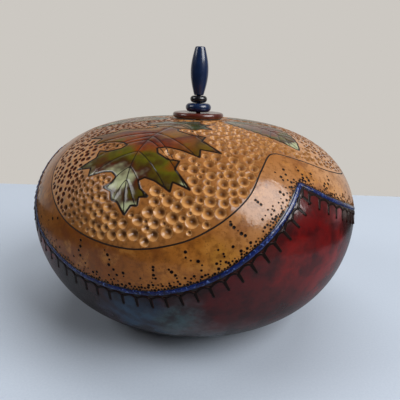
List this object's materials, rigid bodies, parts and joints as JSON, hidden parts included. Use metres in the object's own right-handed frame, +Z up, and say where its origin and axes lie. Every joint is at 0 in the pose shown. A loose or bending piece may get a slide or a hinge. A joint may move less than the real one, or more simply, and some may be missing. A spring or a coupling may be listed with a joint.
{
  "type": "lidded gourd bowl",
  "caption": "Round gourd shell bowl with a wavy-edged lift-off lid and a beaded finial knob; carved, burnt and dyed decoration, varnished.",
  "frame": {"origin": "centre of the flat foot, on the surface that the bowl stands on", "axes": "+Z up along the gourd's axis and the knob, -Y towards the decorated front, +X to the right seen from the front"},
  "size_m": [0.21, 0.21, 0.1726],
  "materials": {
    "dyed_gourd": "dyed hard gourd shell under gloss varnish",
    "carved_gourd": "carved hard gourd shell, tan, under gloss varnish",
    "turned_wood": "polished red-brown wood",
    "navy_stone": "polished",
    "black_stone": "polished",
    "screw_brass": "plain"
  },
  "bodies": {
    "bowl": {"gourd_bowl": "dyed_gourd"},
    "lid": {"gourd_lid": "carved_gourd", "knob_disc": "turned_wood", "base_bead": "navy_stone", "spacer_bead": "black_stone", "barrel_bead": "navy_stone", "knob_screw": "screw_brass", "knob_washer": "screw_brass"}
  },
  "joints": [
    {"name": "lid_lift", "type": "slide", "parent": "bowl", "child": "lid", "axis": [0, 0, 1], "range_m": [0, 0.12]}
  ]
}
